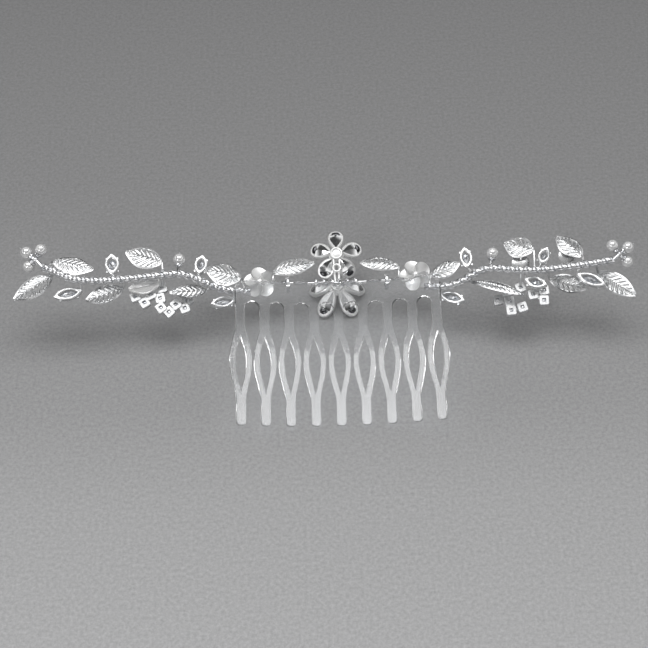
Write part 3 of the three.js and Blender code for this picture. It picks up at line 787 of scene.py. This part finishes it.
def stone_axes(node):
    """A marquise stone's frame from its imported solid: long axis in x, its back point to +z."""
    found = points(node)
    ends = max(((a, b) for a in found for b in found), key=lambda pair: (pair[0] - pair[1]).length)
    along = (ends[1] - ends[0]).normalized()
    faces = list(faces_of(node))
    table = max((n for _, n, _ in faces), key=lambda n: sum(a for _, m, a in faces if m.dot(n) > 0.999))
    facing = (table - along * table.dot(along)).normalized()
    facing = facing if facing.z > 0 else -facing
    centre = (ends[0] + ends[1]) / 2
    if to_rope(ends[1]) < to_rope(ends[0]):
        along = -along
    side = facing.cross(along)
    width = max((p - centre).dot(side) for p in found) * 2
    return axes(centre, along, facing), (ends[0] - ends[1]).length, width


def make_setting(key):
    stone_frame, length, width = stone_axes(f"crystal_{key}")
    outer_long = length + 3.4 * STONE_RIM + 4 * GAP
    outer_wide = width + 2 * STONE_RIM + 2 * GAP
    bm = bmesh.new()
    outer = oval(outer_long, outer_wide, steps=14)
    inner = oval(length + 0.9, width + 0.6, steps=14)
    placed(bm, lambda b: ring_of(b, outer, inner, -STONE_DEPTH / 2, STONE_DEPTH / 2), stone_frame)
    # four claws turn over the front
    for end in (-1, 1):
        for side in (-1, 1):
            root = Vector((end * outer_long * 0.3, side * outer_wide * 0.36, 0))
            tip = Vector((end * outer_long * 0.22, side * outer_wide * 0.22, -STONE_DEPTH / 2 - 0.3))
            knee = Vector((root.x, root.y, -STONE_DEPTH / 2 - 0.15))
            tube(bm, [stone_frame @ p for p in (root, knee, tip)], [0.34, 0.34, 0.22], 8)
    base = stone_frame @ Vector((-outer_long / 2 + 0.4, 0, 0))
    foot = rope_near(base)
    stalk(bm, base, (base + foot) / 2 + Vector((0, 0, 0.25)), short_of(foot, base))
    piece(f"claw_setting_{key}", bm, BRIGHT, [f"setting_{key}"])
    gem = bmesh.new()
    outline = oval(length, width, steps=4)
    placed(gem, lambda b: cut_stone(b, outline, STONE_DEPTH * 0.42, 0.8), stone_frame)
    piece(f"marquise_{key}", gem, CRYSTAL, [f"crystal_{key}"], smooth=0)


# ---- Beads ----
def bead_ball(name, node, away):
    """The bead itself, drilled along away. Gives back its radius."""
    centre = middle(node)
    cloud = points(node)
    radius = max((p - centre).length for p in cloud)
    bm = bmesh.new()
    bmesh.ops.create_uvsphere(bm, u_segments=32, v_segments=20, radius=radius)
    for v in bm.verts:  # the drilled ends are dimpled
        v.co.z *= 0.97
        if (v.co.x ** 2 + v.co.y ** 2) ** 0.5 < 0.35:
            v.co.z *= 0.93
    turn = away.to_track_quat("Z", "Y").to_matrix().to_4x4()
    bm.transform(Matrix.Translation(centre) @ turn)
    piece(name, bm, PEARL, [node])
    return radius


def bead_cap(bm, centre, hub, radius):
    """A cupped cap against a bead, a pin from the hub, and the pin's ball end beyond the bead."""
    away = (centre - hub).normalized()
    one = side_of(away)
    two = away.cross(one)
    tube(bm, [hub, centre - away * (radius + 0.25)], STALK, 8)
    rings = []
    for t in np.linspace(0.12, 1, 6):
        ring = BEAD_CAP * t
        back = math.sqrt((radius + BEAD_FIT) ** 2 - ring ** 2)
        rings.append(circle(centre - away * back, one, two, ring, 20))
    rings.append(circle(centre - away * (back + 0.4), one, two, BEAD_CAP, 20))
    rings.append(circle(centre - away * (radius + 0.62), one, two, 0.6, 20))
    skin(bm, rings)
    tube(bm, [centre + away * (radius + 0.02), centre + away * (radius + 0.3)], [0.34, 0.2], 8)


def make_bead_frame(side):
    beads = [f"bead_{side}_{i}" for i in (1, 2, 3)]
    centres = [middle(b) for b in beads]
    line = ROPES[side]
    mean = sum(centres, Vector()) / 3
    end = min(line, key=lambda p: (p - mean).length)
    hub = mean.lerp(end, 0.32)
    bm = bmesh.new()
    bmesh.ops.create_icosphere(bm, subdivisions=3, radius=FAN_HUB, matrix=Matrix.Translation(hub))
    for name, centre in zip(beads, centres):
        radius = bead_ball(f"{name}_pearl", name, centre - hub)
        bead_cap(bm, centre, hub, radius)
    tube(bm, [hub, end], FAN_STALK, 12)
    piece(f"bead_fan_{side}", bm, SILVER, [f"bead_frame_{side}"])


def make_single_bead(side):
    centre = middle(f"bead_single_{side}")
    foot = rope_near(centre)
    bm = bmesh.new()
    radius = bead_ball(f"bead_single_{side}_pearl", f"bead_single_{side}", centre - foot)
    bead_cap(bm, centre, foot + (centre - foot).normalized() * STALK_STOP, radius)
    piece(f"bead_cap_{side}", bm, SILVER, [f"bead_cup_{side}"])


# ---- Square cups ----
def cup_places(node):
    """The cups of a packed cluster: each centre and turn. A wall of a hexagonal hole faces its axis,
    so the walls of one hole all point at the same spot."""
    cloud = points(node)
    votes = []
    for c, n, a in faces_of(node):
        if abs(n.z) < 0.02 and a > 0.05:
            votes.append((c.xy + n.xy * HOLE_APOTHEM, n, c.z))
    found = []
    for spot, _, _ in votes:
        near = [v for v in votes if (v[0] - spot).length < 0.3]
        if len(near) < 9 or any((spot - f[0].xy).length < 1 for f in found):
            continue
        sides = {round(math.degrees(math.atan2(n.y, n.x)) / 20) for _, n, _ in near}
        if len(sides) < 5:
            continue
        xy = sum((v[0] for v in near), Vector((0, 0))) / len(near)
        z = [v[2] for v in near]
        turns = [math.degrees(math.atan2(n.y, n.x)) % 60 for _, n, _ in near]
        wheel = sum(np.exp(1j * math.radians(6 * t)) for t in turns)
        turn = math.degrees(np.angle(wheel)) / 6
        found.append((Vector((xy.x, xy.y, (min(z) + max(z)) / 2)), turn % 60))
    return found


def square_outline(half, corner, steps=3):
    out = []
    for k in range(4):
        for i in range(steps + 1):
            turn = math.pi / 2 * (k + i / steps)
            centre = Matrix.Rotation(math.pi / 2 * k, 2) @ Vector((half - corner, half - corner))
            out.append(centre + Vector((corner * math.cos(turn), corner * math.sin(turn))))
    return out


def cup_body(bm):
    """An open-fronted square cup with a round hole in its back, and a claw at each corner."""
    half = CUP / 2
    outer = square_outline(half, 0.45)
    inner = square_outline(half - CUP_WALL, 0.3)
    hole = [p.normalized() * CUP_HOLE / 2 for p in outer]
    back, front = CUP_HIGH / 2, -CUP_HIGH / 2

    def level(outline, z, k=1.0):
        return [Vector((p.x * k, p.y * k, z)) for p in outline]
    rings = [level(outer, front), level(outer, back - 0.2), level(outer, back, 0.93), level(hole, back, 1.12),
             level(hole, back - 0.15), level(hole, back - 0.5), level(inner, back - 0.6), level(inner, front)]
    skin(bm, rings, wrap=True)
    for k in range(4):
        corner = Matrix.Rotation(math.pi / 2 * k, 2) @ Vector((half - 0.35, half - 0.35))
        tip = corner * 0.72
        claw = [Vector((*corner, front + 0.3)), Vector((*corner, front - 0.2)), Vector((*tip, front - 0.35))]
        tube(bm, claw, [0.3, 0.3, 0.2], 8)


def make_cluster(side):
    node = f"cup_cluster_{side}"
    cups = cup_places(node)
    bm = bmesh.new()
    for place, turn in cups:
        placed(bm, cup_body, Matrix.Translation(place) @ Matrix.Rotation(math.radians(turn), 4, "Z"))
    for i, (a, _) in enumerate(cups):
        for b, _ in cups[i + 1:]:
            if (a - b).length < CUP_LINK:
                away = (b - a).normalized() * CUP * 0.48
                low = Vector((0, 0, -0.3))
                tube(bm, [a + away + low, b - away + low], 0.42, 8)
    nearest = min((p for p, _ in cups), key=to_rope)
    foot = rope_near(nearest)
    away = (foot - nearest).normalized()
    tube(bm, [nearest + away * 1.2, short_of(foot, nearest)], STALK, 8)
    piece(f"cup_sprig_{side}", bm, BRIGHT, [node])
    for i, (place, turn) in enumerate(cups):
        gem = bmesh.new()
        spin = Matrix.Translation(place) @ Matrix.Rotation(math.radians(turn), 4, "Z")
        outline = square_outline(CUP / 2 - 0.5, 0.5, 2)
        placed(gem, lambda b: cut_stone(b, outline, 0.35, CUP_HIGH / 2 + 0.3), spin)
        piece(f"cup_stone_{side}_{i + 1}", gem, CRYSTAL, smooth=0)


# ---- Flowers ----
def flower_frame(crystal_node, upright):
    """The hub frame of a big flower, from its centre stone. The lower flower stands square to the table."""
    turn = Matrix.Rotation(-LEAN, 4, "X") if upright else Matrix.Identity(4)
    cloud = np.array([turn.inverted() @ p for p in points(crystal_node)])
    centre = Vector((cloud.min(0) + cloud.max(0)) / 2)
    return turn @ Matrix.Translation(centre + Vector((0, 0, CRYSTAL_DROP + 0.05)))


def reach_of(node, hub):
    inverse = hub.inverted()
    return max((inverse @ p).y for p in points(node))


def petal_matrix(hub, turn, flare, inner):
    outwards = Matrix.Rotation(turn, 4, "Z") @ Matrix.Translation((inner, 0, 0))
    return hub @ outwards @ Matrix.Rotation(flare, 4, "Y")


def petal_roof(bm, length):
    """The faceted metal back of a drop cup. It leaves the outer end open, which looks dark."""
    wide = PETAL_WIDTH * 0.36
    half = [(-length * 0.1, wide * 0.8), (length * 0.14, wide), (length * 0.2, wide * 0.96)]
    rim = [(-length / 2 + 0.2, 0)] + half + [(x, -y) for x, y in reversed(half)]
    end = length * 0.17
    ridge = [(-length * 0.2, 0, 1.35), (length * 0.06, 0, 1.7), (end, 0.5, 1.45), (end, -0.5, 1.45)]
    made = [bm.verts.new((x, y, z)) for z in (0.55, 0.8) for x, y in rim]
    made += [bm.verts.new(p) for p in ridge]
    drop_inner(bm, bmesh.ops.convex_hull(bm, input=made))


def petal_foil(bm, length):
    """The dark foil of a stone, seen in the open outer end of its cup's back."""
    made = []
    for scale, z in FOIL_LAYERS:
        for p in turned(scale, 20):
            made.append(bm.verts.new((length * FOIL_AT + FOIL_LONG * p.x, FOIL_WIDE * p.y, z)))
    drop_inner(bm, bmesh.ops.convex_hull(bm, input=made))


def make_flower(which, flare, upright):
    node = f"flower_{which}"
    hub = flower_frame(f"crystal_{which}", upright)
    length = (reach_of(node, hub) - PETAL_INNER) / math.cos(flare) - 0.25
    bm, backs, foils = bmesh.new(), bmesh.new(), bmesh.new()
    x, y = Vector((1, 0, 0)), Vector((0, 1, 0))
    rings = [circle(Vector((0, 0, z)), x, y, radius, 28) for radius, z in BOSS]
    placed(bm, lambda b: skin(b, rings), hub)
    for i in range(PETALS):
        place = petal_matrix(hub, math.pi / 2 + 2 * math.pi * i / PETALS, flare, PETAL_INNER)
        place = place @ Matrix.Translation((length / 2, 0, 0))
        outer = oval(length, PETAL_WIDTH, 0.5, 16)
        inner = [Vector((p.x * 0.74, p.y * 0.6)) for p in outer]
        placed(bm, lambda b: ring_of(b, outer, inner, -0.8, 0.8, 0.26), place)
        placed(backs, lambda b: petal_roof(b, length), place)
        placed(foils, lambda b: petal_foil(b, length), place)
        # two claws over the stone at the wide end
        for side in (-1, 1):
            wide = side * PETAL_WIDTH
            root = place @ Vector((length * 0.26, wide * 0.36, -0.6))
            knee = place @ Vector((length * 0.25, wide * 0.34, -1.05))
            tip = place @ Vector((length * 0.2, wide * 0.24, -1.15))
            tube(bm, [root, knee, tip], [0.35, 0.33, 0.2], 8)
        gem = bmesh.new()
        drop = [Vector((p.x * 0.76 - 0.35, p.y * 0.68)) for p in oval(length, PETAL_WIDTH, 0.5, 3)]
        placed(gem, lambda b: cut_stone(b, drop, 0.95, 0.9, PETAL_TABLE), place)
        piece(f"petal_crystal_{which}_{i + 1}", gem, CRYSTAL, smooth=0)
    # two posts from the hub to the rail, and two rings that hide their ends
    rail = rope_near(hub.translation)
    for side in (-1, 1):
        start = hub @ Vector((side * 0.9, 0, 0.3))
        knee = (start + rail) / 2 + Vector((side * 0.5, 0, 0.2))
        tube(bm, [start, knee, rail + Vector((side * 0.5, 0, 0))], POST, 10)
    hub_ring = [hub @ p for p in circle(Vector((0, 0, 1.05)), x, y, HUB_RING, 32)]
    tube(bm, hub_ring, RING_WIRE, 10, closed=True)
    between = (hub.translation + rail) / 2 + Vector((0, -0.4, 1.9))
    tube(bm, circle(between, x, y, POST_RING, 28), RING_WIRE, 10, closed=True)
    piece(f"big_flower_{which}", bm, SATIN, [node])
    piece(f"petal_backs_{which}", backs, MIRROR, smooth=12)
    piece(f"petal_foils_{which}", foils, FOIL, smooth=30)
    stone = bmesh.new()
    outline = turned(2, 16)
    place = hub @ Matrix.Translation((0, 0, -CRYSTAL_DROP))
    placed(stone, lambda b: cut_stone(b, outline, 0.85, 0.95), place)
    piece(f"centre_crystal_{which}", stone, CRYSTAL, [f"crystal_{which}"], smooth=0)


def make_disc_flower(side, turn):
    node = f"disc_flower_{side}"
    cloud = np.array(points(node))
    centre = Vector((cloud.min(0) + cloud.max(0)) / 2)
    back = cloud[:, 2].max()
    hub = Matrix.Translation((centre.x, centre.y, back - 0.9))
    bm = bmesh.new()

    def dish(u, v):
        radius, around = DISC_PETAL * (0.03 + 0.97 * u), 2 * math.pi * v
        return Vector((radius * math.cos(around), radius * math.sin(around), 0.4 * u * u - 0.2))
    for i in range(PETALS):
        place = petal_matrix(hub, turn + 2 * math.pi * i / PETALS, 0.4, 0.6)
        place = place @ Matrix.Translation((2.3, 0, 0)) @ Matrix.Rotation(0.3, 4, "X")
        placed(bm, lambda b: plate(b, 10, 28, DISC_THICK, dish), place)
    x, y = Vector((1, 0, 0)), Vector((0, 1, 0))
    rings = [circle(Vector((0, 0, z)), x, y, radius, 24) for radius, z in DISC_BOSS]
    placed(bm, lambda b: skin(b, rings), hub)
    bmesh.ops.remove_doubles(bm, verts=bm.verts, dist=1e-5)
    piece(f"round_flower_{side}", bm, SATIN, [node])
    gem = bmesh.new()
    outline = turned(1.15, 10)
    placed(gem, lambda b: cut_stone(b, outline, 0.2, 0.6), hub @ Matrix.Translation((0, 0, -1.75)))
    piece(f"round_flower_stone_{side}", gem, CRYSTAL, smooth=0)


make_comb()
make_binding()
for side in ("left", "right"):
    make_strands(side)
    make_bead_frame(side)
    make_single_bead(side)
    make_cluster(side)
for node in sorted(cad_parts):
    if node.startswith(("leaf_", "petal_")):
        make_leaf(node)
    if node.startswith("setting_"):
        make_setting(node.removeprefix("setting_"))
make_flower("upper", 0.42, False)
make_flower("lower", 0.62, True)
make_disc_flower("left", -0.9)
make_disc_flower("right", -0.6)


# ---- Table, light and camera ----
def make_floor():
    bm = bmesh.new()
    bmesh.ops.create_grid(bm, x_segments=40, y_segments=40, size=1.5)
    mesh = bpy.data.meshes.new("floor")
    bm.to_mesh(mesh)
    bm.free()
    floor = bpy.data.objects.new("floor", mesh)
    bpy.context.scene.collection.objects.link(floor)
    floor.location.z = cad_box[0].z - 0.0002
    material, shader, coords = new_material("floor")
    nodes, link = material.node_tree.nodes, material.node_tree.links.new
    split = nodes.new("ShaderNodeSeparateXYZ")
    link(coords, split.inputs["Vector"])
    # painted shade: the floor's colour darkens away from the camera, standing in for the lamps' falloff
    depth = nodes.new("ShaderNodeMapRange")
    depth.inputs["From Min"].default_value = -0.12
    depth.inputs["From Max"].default_value = 0.18
    link(split.outputs["Y"], depth.inputs["Value"])
    tone = ramp(material, depth.outputs["Result"], FLOOR_PAINTED_FALLOFF)
    specks = noise(material, coords, 900, 4, 0.8)
    grain = ramp(material, specks, [(0.3, (0.8, 0.8, 0.8)), (0.7, (1.2, 1.2, 1.2))])
    mix = nodes.new("ShaderNodeMix")
    mix.data_type = "RGBA"
    mix.blend_type = "MULTIPLY"
    mix.inputs["Factor"].default_value = 1
    link(tone, mix.inputs["A"])
    link(grain, mix.inputs["B"])
    link(mix.outputs["Result"], shader.inputs["Base Color"])
    shader.inputs["Roughness"].default_value = 0.9
    mesh.materials.append(material)


def area_light(name, place, aim, size, power):
    light = bpy.data.lights.new(name, "AREA")
    light.shape = "RECTANGLE"
    light.size, light.size_y = size
    light.energy = power
    lamp = bpy.data.objects.new(name, light)
    bpy.context.scene.collection.objects.link(lamp)
    lamp.location = place
    lamp.rotation_mode = "QUATERNION"
    lamp.rotation_quaternion = (Vector(aim) - Vector(place)).to_track_quat("-Z", "Y")


def make_world():
    world = bpy.data.worlds.new("studio")
    bpy.context.scene.world = world
    world.use_nodes = True
    nodes, link = world.node_tree.nodes, world.node_tree.links.new
    place = nodes.new("ShaderNodeTexCoord")
    split = nodes.new("ShaderNodeSeparateXYZ")
    band = nodes.new("ShaderNodeValToRGB")
    link(place.outputs["Generated"], split.inputs["Vector"])
    patches = nodes.new("ShaderNodeTexNoise")
    patches.inputs["Scale"].default_value = 2.2
    patches.inputs["Detail"].default_value = 0
    link(place.outputs["Generated"], patches.inputs["Vector"])
    shifted = nodes.new("ShaderNodeMath")
    shifted.operation = "MULTIPLY_ADD"
    shifted.inputs[1].default_value = 0.3
    link(patches.outputs["Fac"], shifted.inputs[0])
    link(split.outputs["Z"], shifted.inputs[2])
    link(shifted.outputs["Value"], band.inputs["Fac"])
    stops = [(0.15, 0.02), (0.4, 0.05), (0.5, 1.0), (0.66, 0.9), (0.74, 0.06), (0.93, 0.08), (1.0, 0.42)]
    while len(band.color_ramp.elements) < len(stops):
        band.color_ramp.elements.new(0.5)
    for element, (at, value) in zip(band.color_ramp.elements, stops):
        element.position = at
        element.color = (value, value, value, 1)
    link(band.outputs["Color"], nodes["Background"].inputs["Color"])
    nodes["Background"].inputs["Strength"].default_value = WORLD_STRENGTH


# painted light falloff: floor colours from near to far, darker towards the back
FLOOR_PAINTED_FALLOFF = [(place, (tone, tone, tone * 1.01)) for place, tone in (
    (0, 0.488), (0.2, 0.421), (0.32, 0.349), (0.48, 0.299), (0.65, 0.253), (1, 0.205))]
WORLD_STRENGTH = 1.05
LAMP_POWER = 3.3

CAMERA_UP = math.radians(52)
CAMERA_FAR = 0.55
CAMERA_LENS = 94.7
CAMERA_ROLL = math.radians(1.7)
AIM = Vector((0, 0, 0.012))
AIM_OFF = (0.00065, 0.00048)  # how far the picture's middle lies left of and below AIM


def make_camera():
    data = bpy.data.cameras.new("camera")
    data.lens = CAMERA_LENS
    data.sensor_width = 36
    data.clip_start, data.clip_end = 0.01, 20
    camera = bpy.data.objects.new("camera", data)
    bpy.context.scene.collection.objects.link(camera)
    bpy.context.scene.camera = camera
    back = Vector((0, -math.cos(CAMERA_UP), math.sin(CAMERA_UP)))
    right = Vector((1, 0, 0))
    up = back.cross(right)
    aim = AIM - right * AIM_OFF[0] - up * AIM_OFF[1]
    camera.location = aim + back * CAMERA_FAR
    camera.rotation_mode = "QUATERNION"
    roll = Matrix.Rotation(-CAMERA_ROLL, 4, "Z").to_quaternion()
    camera.rotation_quaternion = (-back).to_track_quat("-Z", "Y") @ roll


make_floor()
make_world()
area_light("softbox_above", (0, 0.2, 0.75), (0, 0.2, 0), (0.9, 0.4), LAMP_POWER)
area_light("fill_front", (-0.5, -0.6, 0.6), (0, 0, 0), (0.25, 0.25), LAMP_POWER * 0.4)
make_camera()
bpy.context.scene.view_settings.view_transform = "Standard"
